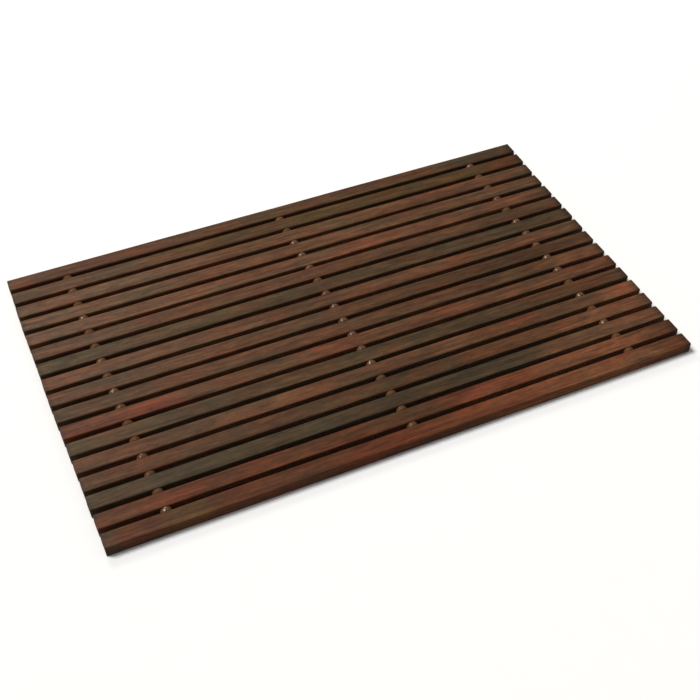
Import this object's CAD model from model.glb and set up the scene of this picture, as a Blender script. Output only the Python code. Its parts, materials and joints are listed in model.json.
"""A slatted hardwood bath mat: seventeen slats strung on three cords, with beads between them."""

import json
import math
import random

import bmesh
import bpy
from mathutils import Matrix, Vector


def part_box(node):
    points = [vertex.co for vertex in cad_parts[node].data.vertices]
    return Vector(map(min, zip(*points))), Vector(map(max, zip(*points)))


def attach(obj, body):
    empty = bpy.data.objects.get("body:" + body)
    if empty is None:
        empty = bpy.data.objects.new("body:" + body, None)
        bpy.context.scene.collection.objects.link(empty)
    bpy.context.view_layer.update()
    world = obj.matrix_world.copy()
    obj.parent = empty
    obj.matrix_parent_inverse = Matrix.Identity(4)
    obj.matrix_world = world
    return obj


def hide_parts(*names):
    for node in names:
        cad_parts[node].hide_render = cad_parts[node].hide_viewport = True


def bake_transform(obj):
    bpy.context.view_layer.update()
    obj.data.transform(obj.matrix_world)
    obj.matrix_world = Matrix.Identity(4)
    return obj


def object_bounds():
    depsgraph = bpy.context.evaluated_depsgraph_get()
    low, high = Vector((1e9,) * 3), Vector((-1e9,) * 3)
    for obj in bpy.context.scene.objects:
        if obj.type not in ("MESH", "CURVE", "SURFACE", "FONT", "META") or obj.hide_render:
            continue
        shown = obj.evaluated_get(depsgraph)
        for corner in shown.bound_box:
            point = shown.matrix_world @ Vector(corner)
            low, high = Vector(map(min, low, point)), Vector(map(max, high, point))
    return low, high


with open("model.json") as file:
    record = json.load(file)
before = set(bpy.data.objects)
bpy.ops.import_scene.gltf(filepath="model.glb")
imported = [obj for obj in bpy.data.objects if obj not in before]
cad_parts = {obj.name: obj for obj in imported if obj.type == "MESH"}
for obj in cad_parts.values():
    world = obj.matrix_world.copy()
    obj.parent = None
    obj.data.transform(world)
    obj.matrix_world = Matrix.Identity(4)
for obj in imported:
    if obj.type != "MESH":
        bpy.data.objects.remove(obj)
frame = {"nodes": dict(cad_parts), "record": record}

cad_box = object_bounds()

MM = 0.001
CORDS = ("cord_left", "cord_middle", "cord_right")
SLATS = sorted(n for n in frame["nodes"] if n.startswith("slat_"))
SPACERS = sorted(n for n in frame["nodes"] if n.startswith("spacers_"))
BODY = {n: body for body, nodes in frame["record"]["behaviour"]["bodies"].items() for n in nodes}

# ---------------------------------------------------------------- dimensions, in metres

EDGE_R = 1.8 * MM          # rounding along a slat's long edges
LEAST_EDGE_R = 0.3 * MM    # what is left of it where a slat's end is eased
END_R = 0.9 * MM           # easing at its ends
HOLE_R = 1.3 * MM          # the cord's hole through a slat
COUNTERSINK = 0.4 * MM
POCKET_R = 2.5 * MM        # the hole that hides a cord's end
POCKET_DEPTH = 8 * MM
PLUG_R = 2.45 * MM
PLUG_BEVEL = 0.15 * MM
BEAD_RIM_R = 1.0 * MM
BEAD_BORE_R = 1.3 * MM
BEAD_PLAY = 0.08 * MM
BEAD_SEAM = 0.05 * MM      # how far the mould line stands proud
CORD_R = 1.0 * MM
STRANDS = 8                # in a cord's braided sleeve, half of them in each direction
STRAND_R = 0.2 * MM
STRAND_WEAVE = 0.08 * MM   # how far a strand rises over those that it crosses
STRAND_TURN = 8 * MM       # the length of cord in which a strand goes once round
CORE_INSET = 0.1 * MM      # from the middle of the strands in to the core's surface

# The strung slats lie a little out of square: the middle ones sit further left than the outer ones.
STRING_BOW = 2.5 * MM
SLAT_SLIP = 0.45 * MM      # how far single slats slip along the cords' holes
SIDE_BOW = 0.3 * MM        # a slat's bow between its cords
SIDE_RIPPLE = 0.3          # a second, shorter wave, as a share of that bow
RISE_BOW = 0.12 * MM       # how unevenly its faces lie
RISE_WAVE = 5.1            # radians a metre along the slat
EDGE_WEAR = 0.16           # the share by which sanding changed the rounding of its edges
WEAR_WAVES = (31, 12)      # radians a metre along the slat

# How finely the shapes are divided.
SLAT_STATION = 8 * MM      # distance between cross-sections along a slat
END_STEPS = 5              # cross-sections in the easing at its end
ARC_STEPS = 6              # in each rounded corner of its section
FACE_STEPS, SIDE_STEPS = 6, 4
FLAT_HOLD = 0.35 * MM      # a point this close to each arc keeps the flats flat
HOLE_SIDES, POCKET_SIDES, PLUG_SIDES, BEAD_SIDES = 28, 36, 40, 72
BEAD_RIM_STEPS = 7
CORD_STEP = 0.4 * MM
CORE_SIDES, STRAND_SIDES = 12, 5
KNOT_ROWS, KNOT_SIDES = 10, 20
KNOT_POLE = 0.04           # a knot's rows stop this share of a half turn short of its poles

# Edges that turn by more than this, in degrees, stay sharp.
WOOD_ANGLE, BEAD_ANGLE, CORD_ANGLE = 35, 40, 60

# The first of the random seeds for each kind of piece.
SLAT_SEED, BEAD_SEED, WOOD_SEED = 100, 300, 900
FRONT_KNOT_SEED, BACK_KNOT_SEED = 500, 600

slat_boxes = {n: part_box(n) for n in SLATS}
first_lo, first_hi = slat_boxes[SLATS[0]]
SLAT_L = first_hi.x - first_lo.x
SLAT_W = first_hi.y - first_lo.y
SLAT_H = first_hi.z - first_lo.z
SLAT_GAP = slat_boxes[SLATS[1]][0].y - first_hi.y
MID_Z = (first_lo.z + first_hi.z) / 2
HALF_WIDTH = (cad_box[1].y - cad_box[0].y) / 2
CORD_XS = [sum(corner.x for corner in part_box(n)) / 2 for n in CORDS]
cord_lo, cord_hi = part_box(CORDS[0])
KNOT_R = (cord_hi.z - cord_lo.z) / 2
KNOT_Y = cord_hi.y - KNOT_R
bead_lo, bead_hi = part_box(SPACERS[0])
BEAD_R = (bead_hi.z - bead_lo.z) / 2


def string_shift(y):
    """How far along X the mat lies out of square at this y."""
    return -STRING_BOW * (1 - (y / HALF_WIDTH) ** 2)


def on_cord(x, y):
    """The point in the middle of a cord at this y."""
    return Vector((x + string_shift(y), y, MID_Z))


# ---------------------------------------------------------------- mesh tools

def shade(obj, smooth_angle):
    """Smooth shading, but for edges sharper than the angle."""
    mesh = obj.data
    mesh.polygons.foreach_set("use_smooth", [True] * len(mesh.polygons))
    mesh.set_sharp_from_angle(angle=math.radians(smooth_angle))
    mesh.update()


def mesh_piece(name, verts, faces, material, smooth_angle=WOOD_ANGLE):
    """A new object from points and faces, with its faces turned outwards."""
    mesh = bpy.data.meshes.new(name)
    mesh.from_pydata([tuple(v) for v in verts], [], faces)
    mesh.validate()
    obj = bpy.data.objects.new(name, mesh)
    bpy.context.scene.collection.objects.link(obj)
    mesh.materials.append(material)
    shade(obj, smooth_angle)
    bm = bmesh.new()
    bm.from_mesh(mesh)
    bmesh.ops.recalc_face_normals(bm, faces=bm.faces)
    bm.to_mesh(mesh)
    bm.free()
    return obj


def circle(sides):
    """The angles of a ring's points."""
    return [2 * math.pi * k / sides for k in range(sides)]


def bridge_rings(rings):
    """Equal rings of points joined into a closed tube: (points, faces)."""
    count = len(rings[0])
    last = (len(rings) - 1) * count
    faces = []
    for a in range(0, last, count):
        b = a + count
        for k in range(count):
            n = (k + 1) % count
            faces.append((a + k, a + n, b + n, b + k))
    faces.append(tuple(reversed(range(count))))
    faces.append(tuple(range(last, last + count)))
    return [p for ring in rings for p in ring], faces


def ring_y(profile, segments):
    """A closed ring turned about the Y axis. The profile is a closed loop of (radius, y)."""
    count = len(profile)
    verts = [
        Vector((r * math.cos(a), y, r * math.sin(a))) for a in circle(segments) for r, y in profile
    ]
    faces = []
    for i in range(segments):
        a, b = i * count, (i + 1) % segments * count
        for k in range(count):
            n = (k + 1) % count
            faces.append((a + k, b + k, b + n, a + n))
    return verts, faces


def turned_y(profile, centre, segments):
    """A solid turned about an axis along Y, from (radius, y) points between its two flat ends."""
    return bridge_rings([
        [
            Vector((centre.x + r * math.cos(a), centre.y + y, centre.z - r * math.sin(a)))
            for a in circle(segments)
        ]
        for r, y in profile
    ])


def merged(parts):
    """Several (points, faces) as one."""
    verts, faces = [], []
    for v, f in parts:
        base = len(verts)
        verts += v
        faces += [tuple(base + i for i in face) for face in f]
    return verts, faces


def drill(obj, cutter):
    """Cuts a (points, faces) solid out of obj for good."""
    tool = mesh_piece("drill", *cutter, obj.data.materials[0])
    cut = obj.modifiers.new("drill", "BOOLEAN")
    cut.operation = "DIFFERENCE"
    cut.solver = "EXACT"
    cut.object = tool
    bpy.context.view_layer.update()
    evaluated = obj.evaluated_get(bpy.context.evaluated_depsgraph_get())
    done = bpy.data.meshes.new_from_object(evaluated)
    obj.modifiers.clear()
    old = obj.data
    obj.data = done
    done.name = obj.name
    bpy.data.meshes.remove(old)
    bpy.data.objects.remove(tool)


# ---------------------------------------------------------------- slats

def slat_profile(inset, edge_r):
    """The slat's section as (y, z) about its middle, with its faces pulled in by an inset."""
    half_w, half_h = SLAT_W / 2 - inset, SLAT_H / 2 - inset
    r = max(edge_r - inset, LEAST_EDGE_R)
    points = []
    for quarter, (sy, sz) in enumerate(((1, 1), (-1, 1), (-1, -1), (1, -1))):
        cy, cz = sy * (half_w - r), sz * (half_h - r)
        for k in range(ARC_STEPS + 1):
            t = math.pi / 2 * (quarter + k / ARC_STEPS)
            points.append((cy + r * math.cos(t), cz + r * math.sin(t)))
        across = quarter in (0, 2)         # the flat after this arc is the top or the bottom
        length = 2 * ((half_w if across else half_h) - r)
        steps = FACE_STEPS if across else SIDE_STEPS
        stops = [FLAT_HOLD] + [length * k / steps for k in range(1, steps)] + [length - FLAT_HOLD]
        y, z = points[-1]
        points += [(y - sy * s, z) if across else (y, z - sz * s) for s in stops]
    return points


def slat_stations():
    """Distances from the slat's middle at which it has a section, and each section's inset."""
    straight = SLAT_L / 2 - END_R
    turns = [math.pi / 2 * k / END_STEPS for k in range(1, END_STEPS + 1)]
    eased = [(straight + END_R * math.sin(t), END_R * (1 - math.cos(t))) for t in turns]
    count = round(2 * straight / SLAT_STATION)
    flat = [(-straight + 2 * straight * k / count, 0.0) for k in range(count + 1)]
    return [(-d, inset) for d, inset in reversed(eased)] + flat + eased


class SlatShape:
    """The small ways in which one slat differs from a straight one."""

    def __init__(self, index, centre_y):
        rng = random.Random(SLAT_SEED + index)
        self.y = centre_y
        self.slip = string_shift(centre_y) + rng.uniform(-SLAT_SLIP, SLAT_SLIP)
        self.side = rng.uniform(-SIDE_BOW, SIDE_BOW)
        self.ripple = rng.uniform(-SIDE_RIPPLE, SIDE_RIPPLE) * SIDE_BOW
        self.rise_phase = rng.uniform(0, math.tau)
        self.wear_phase = rng.uniform(0, 50)

    def offset(self, x):
        """How far the section at x moves along Y and Z. Along Y it stays put at each cord."""
        turn = math.pi * x / (CORD_XS[2] - CORD_XS[1])
        dy = self.side * math.sin(turn) + self.ripple * math.sin(2 * turn)
        dz = RISE_BOW * 0.5 * (1 + math.sin(self.rise_phase + RISE_WAVE * x))
        return dy, dz

    def edge_r(self, x):
        """The rounding of its long edges, which sanding left uneven."""
        short, long = (math.sin(wave * x + self.wear_phase) for wave in WEAR_WAVES)
        return EDGE_R * (1 + EDGE_WEAR * short * long)

    def section(self, x, inset):
        """The ring of points at x."""
        dy, dz = self.offset(x)
        flatter = 1 - RISE_BOW / SLAT_H        # the faces' unevenness stays within the CAD's height
        return [
            Vector((x + self.slip, self.y + dy + y, MID_Z + dz + z * flatter))
            for y, z in slat_profile(inset, self.edge_r(x))
        ]


def hole_profile():
    """A cord hole with lightly countersunk mouths, as (radius, y) from one side to the other."""
    face = SLAT_W / 2
    wide = HOLE_R + COUNTERSINK
    return [
        (wide + MM, -face - MM), (wide, -face), (HOLE_R, -face + COUNTERSINK),
        (HOLE_R, face - COUNTERSINK), (wide, face), (wide + MM, face + MM),
    ]


def make_slat(node, index, centre_y, material, pocket_side):
    """A slat with its cord holes. Pockets for the cords' ends are on the side given as -1 or 1."""
    shape = SlatShape(index, centre_y)
    verts, faces = bridge_rings([shape.section(x, inset) for x, inset in slat_stations()])
    slat = mesh_piece(node + "_wood", verts, faces, material)
    for x in CORD_XS:
        drill(slat, turned_y(hole_profile(), on_cord(x, centre_y), HOLE_SIDES))
        if pocket_side:
            depths = (SLAT_W / 2 - POCKET_DEPTH, SLAT_W / 2 + MM)
            pocket = [(POCKET_R, pocket_side * depth) for depth in depths]
            drill(slat, turned_y(pocket, on_cord(x, centre_y), POCKET_SIDES))
    shade(slat, WOOD_ANGLE)
    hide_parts(node)
    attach(slat, node)


# ---------------------------------------------------------------- spacer beads

def bead_profile():
    """A bead's section as a closed loop of (radius, y), with a fine mould line round its rim."""
    half = SLAT_GAP / 2 - BEAD_PLAY
    rim_x = BEAD_R - BEAD_RIM_R
    rim_y = half - BEAD_RIM_R
    upper = [
        (BEAD_BORE_R, 0.4 * MM),                               # the bore
        (BEAD_BORE_R, half - 0.5 * MM),
        (BEAD_BORE_R + 0.35 * MM, half - 0.12 * MM),           # its rounded mouth
        (BEAD_BORE_R + 0.7 * MM, half),
        (rim_x - 0.4 * MM, half),                              # the flat face
    ]
    for k in range(BEAD_RIM_STEPS + 1):
        t = math.pi / 2 * (1 - k / BEAD_RIM_STEPS)
        upper.append((rim_x + BEAD_RIM_R * math.cos(t), rim_y + BEAD_RIM_R * math.sin(t)))
    upper += [(BEAD_R, 0.15 * MM), (BEAD_R + BEAD_SEAM, BEAD_SEAM)]
    return upper + [(r, -y) for r, y in reversed(upper)]


def make_beads(node, index, material):
    """The three beads in one gap, each turned its own way on its cord."""
    lo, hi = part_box(node)
    centre_y = (lo.y + hi.y) / 2
    rng = random.Random(BEAD_SEED + index)
    verts, faces = ring_y(bead_profile(), BEAD_SIDES)
    parts = []
    for x in CORD_XS:
        turn = Matrix.Rotation(rng.uniform(0, math.tau), 4, "Y")
        move = Matrix.Translation(on_cord(x, centre_y)) @ turn
        parts.append(([move @ v for v in verts], faces))
    beads = mesh_piece(node + "_beads", *merged(parts), material, BEAD_ANGLE)
    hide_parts(node)
    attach(beads, BODY[node])


# ---------------------------------------------------------------- cords and plugs

def strand_tube(path, radius, sides):
    """A closed tube along a list of points."""
    rings = []
    for i, p in enumerate(path):
        ahead = path[min(i + 1, len(path) - 1)]
        behind = path[max(i - 1, 0)]
        along = (ahead - behind).normalized()
        across = along.cross(Vector((0, 0, 1))).normalized()
        up = across.cross(along)
        rings.append([
            p + radius * (math.cos(a) * across + math.sin(a) * up) for a in circle(sides)
        ])
    return bridge_rings(rings)


def cord_length(x, y_from, y_to):
    """An elastic core in a sleeve of strands, braided over and under each other."""
    per_hand = STRANDS // 2
    sleeve_r = CORD_R - STRAND_R - STRAND_WEAVE
    steps = round((y_to - y_from) / CORD_STEP)
    ys = [y_from + (y_to - y_from) * k / steps for k in range(steps + 1)]
    parts = [strand_tube([on_cord(x, y) for y in ys], sleeve_r - CORE_INSET, CORE_SIDES)]
    for strand in range(STRANDS):
        hand = 1 if strand < per_hand else -1
        path = []
        for y in ys:
            t = hand * 2 * math.pi * (y / STRAND_TURN + strand % per_hand / per_hand)
            r = sleeve_r + hand * STRAND_WEAVE * math.cos(STRANDS * math.pi * y / STRAND_TURN)
            path.append(on_cord(x, y) + r * Vector((math.cos(t), 0, math.sin(t))))
        parts.append(strand_tube(path, STRAND_R, STRAND_SIDES))
    return parts


def melted_end(x, y, seed):
    """The lump at a cord's end, knotted and melted so that it can't pull through."""
    rng = random.Random(seed)
    waves = [(rng.choice((2, 3, 4)), rng.uniform(0, math.tau)) for _ in range(3)]
    rings = []
    for i in range(KNOT_ROWS + 1):
        t = math.pi * (KNOT_POLE + (1 - 2 * KNOT_POLE) * i / KNOT_ROWS)
        ring = []
        for a in circle(KNOT_SIDES):
            lumps = sum(math.sin(n * a + phase) * math.sin(2 * t + phase) for n, phase in waves)
            r = KNOT_R * math.sin(t) * (0.95 - 0.017 * lumps)
            ring.append(on_cord(x, y) + Vector((
                r * math.cos(a), -KNOT_R * math.cos(t), -r * math.sin(a)
            )))
        rings.append(ring)
    return bridge_rings(rings)


def make_cord_runs(material):
    """The cords in one piece for each gap, because each gap bends on its own joint."""
    middles = [(lo.y + hi.y) / 2 for lo, hi in (slat_boxes[n] for n in SLATS)]
    last = len(SLATS) - 2
    for i in range(last + 1):
        y_from = -KNOT_Y if i == 0 else middles[i]
        y_to = KNOT_Y if i == last else middles[i + 1]
        parts = []
        for number, x in enumerate(CORD_XS):
            parts += cord_length(x, y_from, y_to)
            if i == 0:
                parts.append(melted_end(x, -KNOT_Y, FRONT_KNOT_SEED + number))
            if i == last:
                parts.append(melted_end(x, KNOT_Y, BACK_KNOT_SEED + number))
        run = mesh_piece(f"cords_at_gap_{i + 1:02d}", *merged(parts), material, CORD_ANGLE)
        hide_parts(*CORDS)
        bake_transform(run)


def make_plugs(node, body, side, material):
    """The three plugs over the cords' ends in one outer slat, each with a lightly broken edge."""
    lo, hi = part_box(node)
    half = (hi.y - lo.y) / 2
    face_y = hi.y if side > 0 else lo.y
    profile = [
        (PLUG_R - PLUG_BEVEL, -half), (PLUG_R, -half + PLUG_BEVEL),
        (PLUG_R, half - PLUG_BEVEL), (PLUG_R - PLUG_BEVEL, half),
    ]
    parts = []
    for x in CORD_XS:
        centre = on_cord(x, face_y) - Vector((0, side * half, 0))
        parts.append(turned_y(profile, centre, PLUG_SIDES))
    plugs = mesh_piece(node + "_wood", *merged(parts), material)
    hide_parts(node)
    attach(plugs, body)


# ---------------------------------------------------------------- materials

def linear(hex_colour):
    """A colour such as "#5e4130" as the linear values that a shader takes."""
    values = [int(hex_colour[i:i + 2], 16) / 255 for i in (1, 3, 5)]
    return [v / 12.92 if v <= 0.04045 else ((v + 0.055) / 1.055) ** 2.4 for v in values] + [1.0]


class Nodes:
    """A material's node tree, with short calls for the nodes that the patterns need."""

    def __init__(self, name):
        self.material = bpy.data.materials.new(name)
        self.material.use_nodes = True
        self.tree = self.material.node_tree
        self.tree.nodes.clear()
        self.shader = self.add("ShaderNodeBsdfPrincipled")
        output = self.add("ShaderNodeOutputMaterial")
        self.tree.links.new(self.shader.outputs[0], output.inputs["Surface"])
        self.coordinates = self.add("ShaderNodeTexCoord")
        self.place = self.coordinates.outputs["Object"]

    def add(self, kind, inputs=None, **settings):
        """A node with its settings and inputs. An input is a number, a vector or a socket."""
        node = self.tree.nodes.new(kind)
        for key, value in settings.items():
            setattr(node, key, value)
        for key, value in (inputs or {}).items():
            self.put(node.inputs[key], value)
        return node

    def put(self, socket, value):
        """Links a socket into an input, or sets the input's own value."""
        if isinstance(value, bpy.types.NodeSocket):
            self.tree.links.new(value, socket)
        else:
            socket.default_value = value

    def math(self, operation, *values, clamp=False):
        """The result of arithmetic on numbers."""
        node = self.add("ShaderNodeMath", operation=operation, use_clamp=clamp)
        for socket, value in zip(node.inputs, values):
            self.put(socket, value)
        return node.outputs[0]

    def vector(self, operation, a, b):
        """The result of arithmetic on vectors or colours. To scale one, b is a number."""
        node = self.add("ShaderNodeVectorMath", operation=operation)
        self.put(node.inputs[0], a)
        self.put(node.inputs["Scale" if operation == "SCALE" else 1], b)
        return node.outputs[0]

    def apart(self, vector):
        """The three sockets X, Y and Z of a vector."""
        return self.add("ShaderNodeSeparateXYZ", {"Vector": vector}).outputs

    def noise(self, scale, detail, roughness=0.5, shift=(0, 0, 0), colour=False):
        """Noise about the object, whose scale is in waves a metre along X, Y and Z."""
        where = self.add(
            "ShaderNodeMapping", {"Vector": self.place, "Scale": scale, "Location": shift},
        ).outputs[0]
        node = self.add("ShaderNodeTexNoise", {
            "Vector": where, "Scale": 1.0, "Detail": detail, "Roughness": roughness,
        })
        return node.outputs["Color" if colour else "Fac"]

    def ramp(self, value, low, high, to_low=0.0, to_high=1.0):
        """Goes smoothly from to_low to to_high while the value goes from low to high."""
        node = self.add("ShaderNodeMapRange", {
            "Value": value, "From Min": low, "From Max": high, "To Min": to_low, "To Max": to_high,
        }, interpolation_type="SMOOTHSTEP")
        return node.outputs["Result"]

    def mix(self, amount, a, b, blend="MIX"):
        """A colour between a and b, where an amount of 1 gives b."""
        node = self.add("ShaderNodeMix", data_type="RGBA", blend_type=blend)
        self.put(node.inputs["Factor"], amount)
        self.put(node.inputs[6], a)
        self.put(node.inputs[7], b)
        return node.outputs[2]

    def tinted(self, colour, factors):
        """A colour with its red, green and blue multiplied."""
        return self.mix(1.0, colour, (*factors, 1), "MULTIPLY")

    def bump(self, height, distance, strength):
        """A normal for relief whose height goes from 0 to 1 over the distance."""
        inputs = {"Height": height, "Distance": distance, "Strength": strength}
        return self.add("ShaderNodeBump", inputs).outputs["Normal"]

    def finish(self, **sockets):
        """Fills the shader's sockets and gives the material."""
        for key, value in sockets.items():
            self.put(self.shader.inputs[key.replace("_", " ")], value)
        return self.material


# Stains on the wood, from the reddest to the greyest.
TONES = {
    "red": "#5e301e",
    "wine": "#512b17",
    "rust": "#653828",
    "copper": "#66402c",
    "amber": "#583c20",
    "tan": "#5c3f2e",
    "brown": "#563b29",
    "walnut": "#523625",
    "umber": "#4a311f",
    "dark": "#402b1a",
    "olive": "#46321b",
    "moss": "#463422",
    "grey": "#3d3123",
}

# Each slat from the front edge to the back: its main tone, and patches of (place along it from -1
# at the left end to 1 at the right, half length, tone, strength).
SLAT_TONES = [
    ("wine", [
        (-0.98, 0.05, "grey", 0.7), (-0.76, 0.09, "amber", 0.7), (0.6, 0.47, "copper", 0.85),
    ]),
    ("wine", [(0.0, 0.2, "umber", 0.5), (0.28, 0.1, "rust", 0.8), (0.65, 0.4, "copper", 1.0)]),
    ("grey", [(-0.45, 0.25, "moss", 0.7), (0.05, 0.2, "dark", 0.6), (0.87, 0.4, "tan", 1.0)]),
    ("umber", [(-0.8, 0.25, "wine", 0.4), (0.1, 0.25, "dark", 0.5), (0.9, 0.3, "copper", 0.95)]),
    ("walnut", [(-0.35, 0.15, "tan", 0.5), (0.45, 0.17, "wine", 0.5), (0.95, 0.14, "copper", 1.0)]),
    ("moss", [(-0.55, 0.2, "grey", 0.5), (0.7, 0.3, "wine", 0.4)]),
    ("walnut", [
        (-0.85, 0.4, "red", 0.9), (-0.1, 0.06, "rust", 0.7), (0.35, 0.12, "rust", 0.6),
        (0.95, 0.15, "red", 0.5),
    ]),
    ("walnut", [(-0.9, 0.15, "moss", 0.4), (0.55, 0.25, "umber", 0.8), (0.72, 0.08, "dark", 0.6)]),
    ("walnut", [(-0.25, 0.15, "brown", 0.9), (0.58, 0.55, "dark", 1.0)]),
    ("walnut", [(-0.65, 0.5, "tan", 0.8), (0.55, 0.12, "umber", 0.4)]),
    ("moss", [(0.0, 0.1, "walnut", 0.5), (0.6, 0.3, "grey", 0.5)]),
    ("walnut", [(0.3, 0.2, "umber", 0.4), (0.78, 0.3, "dark", 0.7)]),
    ("tan", [
        (-0.2, 0.3, "walnut", 0.6), (0.25, 0.2, "red", 0.4), (0.7, 0.1, "walnut", 0.5),
        (0.95, 0.14, "umber", 0.9),
    ]),
    ("brown", [(-0.2, 0.3, "walnut", 0.7), (0.17, 0.1, "brown", 0.8), (0.9, 0.2, "moss", 0.4)]),
    ("brown", [(-0.9, 0.1, "walnut", 0.7), (-0.5, 0.3, "tan", 0.6), (0.75, 0.4, "walnut", 0.8)]),
    ("olive", [(-0.7, 0.35, "walnut", 0.8), (-0.1, 0.2, "umber", 0.6), (0.93, 0.1, "wine", 0.7)]),
    ("umber", [(-0.75, 0.5, "wine", 0.8), (0.1, 0.25, "walnut", 0.8), (0.9, 0.25, "grey", 0.6)]),
]

# The wood's patterns, from broad to fine, in waves a metre along X, Y and Z.
DRIFT_WAVES = (2.4, 9, 9)
CLOUD_WAVES = (9, 38, 38)
BLUSH_WAVES = (17, 44, 44)
STREAK_WAVES = (5, 150, 150)
FIGURE_WAVES = (42, 170, 170)
FIBRE_WAVES = (16, 700, 700)
PORE_WAVES = (95, 2600, 2600)

RINGS_DRIFT = 0.03             # how far the growth rings stray, in metres
HEART_ASIDE = 0.035            # the log's heart lies at most this far from the slat's middle,
HEART_BELOW = (0.02, 0.07)     # this far below it,
HEART_SLOPE = 0.02             # and at most this much out of line with it
RING_WIDTH = (2.2, 3.6)        # millimetres
BORDER_WANDER = 0.12           # how far the borders of the stain's patches wander, in metres

# What each effect multiplies the stain's red, green and blue by.
REDDER = (1.16, 0.93, 0.80)
GREYER = (0.86, 1.0, 0.95)
ALL_OVER = (1.32, 1.29, 1.14)
SOAKED_END = (0.42, 0.52, 0.55)
DEEPER_SIDE = (0.72, 0.66, 0.42)
PORE_COLOUR = (0.012, 0.008, 0.005, 1)


def late_wood(n, rng, seed, centre_y):
    """The dark late wood of growth rings about a log's heart, from 0 to 1."""
    drift = n.noise(DRIFT_WAVES, 2, shift=seed, colour=True)
    drift = n.vector("SUBTRACT", drift, (0.5, 0.5, 0.5))
    drift = n.vector("MULTIPLY", drift, (0, RINGS_DRIFT, RINGS_DRIFT))
    sawn = n.apart(n.vector("ADD", n.place, drift))
    heart_y = centre_y + rng.uniform(-HEART_ASIDE, HEART_ASIDE)
    heart_z = MID_Z - rng.uniform(*HEART_BELOW)
    slope = rng.uniform(-HEART_SLOPE, HEART_SLOPE)
    ring_width = rng.uniform(*RING_WIDTH) * MM
    dy = n.math("SUBTRACT", sawn["Y"], heart_y)
    dy = n.math("ADD", dy, n.math("MULTIPLY", sawn["X"], slope))
    dz = n.math("SUBTRACT", sawn["Z"], heart_z)
    dz = n.math("ADD", dz, n.math("MULTIPLY", sawn["X"], slope * 0.6))
    squares = n.math("ADD", n.math("MULTIPLY", dy, dy), n.math("MULTIPLY", dz, dz))
    phase = n.math("FRACT", n.math("DIVIDE", n.math("SQRT", squares), ring_width))
    return n.math("MULTIPLY", n.ramp(phase, 0.35, 0.92), n.ramp(phase, 1.0, 0.93))


def stain(n, tone, patches, cloud):
    """The stain's colour along a slat: its main tone with broad patches, whose borders wander."""
    wander = n.math("MULTIPLY", n.math("SUBTRACT", cloud, 0.5), BORDER_WANDER)
    along = n.math("ADD", n.apart(n.place)["X"], wander)
    colour = linear(TONES[tone])
    for centre, half, patch_tone, strength in patches:
        away = n.math("ABSOLUTE", n.math("SUBTRACT", along, centre * SLAT_L / 2))
        reach = n.ramp(away, half * SLAT_L / 2, half * SLAT_L / 6, 0.0, strength)
        colour = n.mix(reach, colour, linear(TONES[patch_tone]))
    return colour


def wood(name, index, tone, patches, centre_y):
    """Stained open-grained hardwood: growth rings, fibres, pores and stain."""
    n = Nodes(name)
    rng = random.Random(WOOD_SEED + index)
    seed = (rng.uniform(-40, 40), rng.uniform(-40, 40), rng.uniform(-40, 40))
    late = late_wood(n, rng, seed, centre_y)
    cloud = n.noise(CLOUD_WAVES, 3, shift=seed)
    blush = n.noise(BLUSH_WAVES, 2, shift=seed[::-1])
    streak = n.noise(STREAK_WAVES, 3, 0.55, seed)
    figure = n.noise(FIGURE_WAVES, 5, 0.62, seed[1:] + seed[:1])
    fibre = n.noise(FIBRE_WAVES, 4, 0.62, seed)
    pores = n.ramp(n.noise(PORE_WAVES, 1, shift=seed), 0.61, 0.68)

    colour = stain(n, tone, patches, cloud)
    colour = n.mix(n.ramp(blush, 0.3, 0.7), n.tinted(colour, GREYER), n.tinted(colour, REDDER))
    colour = n.tinted(colour, ALL_OVER)
    shades = (
        n.ramp(cloud, 0.3, 0.7, 0.92, 1.08),
        n.ramp(figure, 0.32, 0.68, 0.78, 1.24),
        n.ramp(streak, 0.4, 0.62, 1.04, 0.72),
        n.ramp(fibre, 0.3, 0.75, 1.22, 0.76),
        n.math("SUBTRACT", 1.0, n.math("MULTIPLY", late, 0.22)),
    )
    for factor in shades:
        colour = n.vector("SCALE", colour, factor)
    colour = n.mix(n.math("MULTIPLY", pores, 0.7), colour, PORE_COLOUR)

    # The stain soaked in further at the slat's ends, more so at the right one.
    along, half = n.apart(n.place)["X"], SLAT_L / 2
    soaked = n.math(
        "ADD",
        n.ramp(along, half - 16 * MM, half - 4 * MM, 0.0, 0.8),
        n.ramp(along, 4 * MM - half, 1 * MM - half, 0.0, 0.5),
    )
    colour = n.mix(soaked, colour, n.tinted(colour, SOAKED_END))

    # Its sides took more stain and less polish than its top and bottom.
    level = n.math("ABSOLUTE", n.apart(n.coordinates.outputs["Normal"])["Z"])
    colour = n.mix(n.ramp(level, 0.8, 0.3), colour, n.tinted(colour, DEEPER_SIDE))
    rough = n.math("ADD", n.ramp(fibre, 0.3, 0.75, 0.42, 0.55), n.math("MULTIPLY", pores, 0.2))
    rough = n.math("ADD", rough, n.ramp(level, 0.8, 0.3, 0.0, 0.35), clamp=True)

    height = n.math("SUBTRACT", n.math("MULTIPLY", fibre, 0.6), n.math("MULTIPLY", pores, 0.8))
    height = n.math("ADD", height, n.math("MULTIPLY", late, 0.3))
    return n.finish(
        Base_Color=colour, Roughness=rough, Specular_IOR_Level=0.22,
        Normal=n.bump(height, 0.15 * MM, 0.5),
    )


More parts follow.
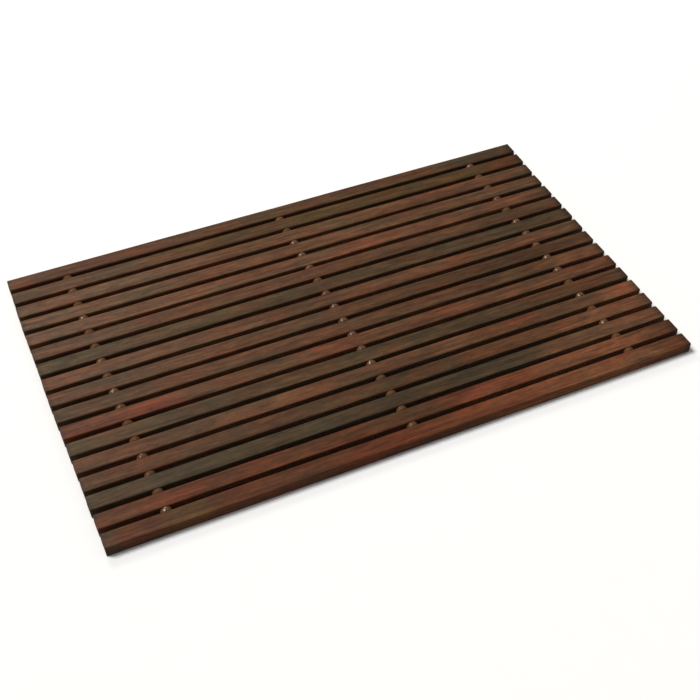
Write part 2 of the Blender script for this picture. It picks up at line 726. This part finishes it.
def bead_plastic(name):
    """Moulded plastic, scuffed and mottled, some beads glossier than others."""
    n = Nodes(name)
    mottle = n.noise((260, 260, 260), 3)
    scuff = n.noise((900, 1500, 900), 4, 0.7)
    each = n.noise((21, 37, 21), 1)        # about the same all over a bead
    colour = n.mix(n.ramp(mottle, 0.3, 0.7), linear("#50341f"), linear("#5d3f28"))
    colour = n.mix(n.ramp(each, 0.35, 0.65, 0.0, 0.35), colour, linear("#66462e"))
    rough = n.math("ADD", n.ramp(scuff, 0.35, 0.8, 0.0, 0.12), n.ramp(each, 0.35, 0.65, 0.66, 0.5))
    return n.finish(
        Base_Color=colour, Roughness=rough, Specular_IOR_Level=0.1,
        Coat_Weight=n.ramp(each, 0.42, 0.62, 0.0, 0.8), Coat_Roughness=0.05,
        Normal=n.bump(scuff, 0.02 * MM, 0.25),
    )


def sleeve(name):
    """A cord's dark woven sleeve, with fine filaments."""
    n = Nodes(name)
    filament = n.noise((3500, 1200, 3500), 2)
    colour = n.mix(filament, linear("#231a14"), linear("#46362a"))
    return n.finish(
        Base_Color=colour, Roughness=n.ramp(filament, 0.3, 0.7, 0.45, 0.65), Sheen_Weight=0.25,
        Normal=n.bump(filament, 0.05 * MM, 0.5),
    )


def floor_paint(name):
    """A plain, almost white studio floor with the faintest tooth."""
    n = Nodes(name)
    grain = n.noise((30, 30, 30), 3)
    colour = n.mix(grain, (0.925, 0.925, 0.925, 1), (0.94, 0.94, 0.94, 1))
    return n.finish(Base_Color=colour, Roughness=0.9, Specular_IOR_Level=0.1)


# ---------------------------------------------------------------- the mat

def build_mat():
    """Every piece of the mat, from the front slat to the back one, then the beads and the cords."""
    plugs = {SLATS[0]: (-1, "plugs_front"), SLATS[-1]: (1, "plugs_back")}
    for index, (node, (tone, patches)) in enumerate(zip(SLATS, SLAT_TONES, strict=True)):
        lo, hi = slat_boxes[node]
        centre_y = (lo.y + hi.y) / 2
        material = wood(f"wood_{index + 1:02d}", index, tone, patches, centre_y)
        side, plug_node = plugs.get(node, (0, None))
        make_slat(node, index, centre_y, material, side)
        if plug_node:
            make_plugs(plug_node, node, side, material)
    plastic = bead_plastic("bead_plastic")
    for index, node in enumerate(SPACERS):
        make_beads(node, index, plastic)
    make_cord_runs(sleeve("cord_sleeve"))


# ---------------------------------------------------------------- studio

CAMERA_PLACE = (-0.4686, -1.0999, 1.1305)
CAMERA_HEADING = (25.27, -44.86)       # azimuth and elevation
CAMERA_ROLL = -0.61                    # degrees
CAMERA_LENS = 61.6                     # millimetres, on a sensor 36 mm wide
CAMERA_SHIFT = -0.0344
FLOOR_HALF = 6.0


def place_in_scene(name, data):
    """A new object in the scene."""
    obj = bpy.data.objects.new(name, data)
    bpy.context.scene.collection.objects.link(obj)
    return obj


def heading(azimuth, elevation):
    """The direction at an azimuth from +Y towards +X and an elevation, both in degrees."""
    a, e = math.radians(azimuth), math.radians(elevation)
    return Vector((math.sin(a) * math.cos(e), math.cos(a) * math.cos(e), math.sin(e)))


def make_camera():
    """Standing to the front and left of the mat, looking down on it."""
    forward = heading(*CAMERA_HEADING)
    level = forward.cross(Vector((0, 0, 1))).normalized()
    right = Matrix.Rotation(math.radians(CAMERA_ROLL), 3, forward) @ level
    up = right.cross(forward)
    turn = Matrix((right, up, -forward)).transposed()
    camera = place_in_scene("camera", bpy.data.cameras.new("camera"))
    camera.matrix_world = Matrix.Translation(CAMERA_PLACE) @ turn.to_4x4()
    camera.data.lens = CAMERA_LENS
    camera.data.sensor_width = 36
    camera.data.shift_x = CAMERA_SHIFT
    camera.data.clip_start = 0.01
    camera.data.clip_end = 50
    bpy.context.scene.camera = camera


def make_floor():
    """A plain floor, which isn't part of the mat."""
    mesh = bpy.data.meshes.new("floor")
    corners = [(FLOOR_HALF * x, FLOOR_HALF * y, 0) for x, y in ((-1, -1), (1, -1), (1, 1), (-1, 1))]
    mesh.from_pydata(corners, [], [(0, 1, 2, 3)])
    mesh.materials.append(floor_paint("floor_paint"))
    place_in_scene("floor", mesh)


def aimed(name, kind, azimuth, elevation, distance=5.0):
    """A light that shines on the mat from a direction."""
    light = place_in_scene(name, bpy.data.lights.new(name, kind))
    towards = heading(azimuth, elevation)
    light.location = towards * distance
    light.rotation_mode = "QUATERNION"
    light.rotation_quaternion = towards.to_track_quat("Z", "Y")
    return light.data


def make_lights():
    """A pale room, a broad soft key from the left, and a small warm light that makes the glints."""
    world = bpy.data.worlds.new("studio")
    bpy.context.scene.world = world
    world.use_nodes = True
    background = world.node_tree.nodes["Background"]
    background.inputs["Color"].default_value = (0.97, 0.985, 1.0, 1)
    background.inputs["Strength"].default_value = 0.28

    key = aimed("key", "SUN", -60, 58)
    key.energy = 2.7
    key.angle = math.radians(24)
    key.color = (1.0, 0.985, 0.96)

    glint = aimed("glint", "AREA", -10, 42, 3.0)
    glint.shape = "SQUARE"
    glint.size = 0.7
    glint.energy = 17
    glint.color = (1.0, 0.9, 0.76)
    bpy.context.scene.view_settings.view_transform = "Standard"


make_camera()
build_mat()
make_floor()
make_lights()
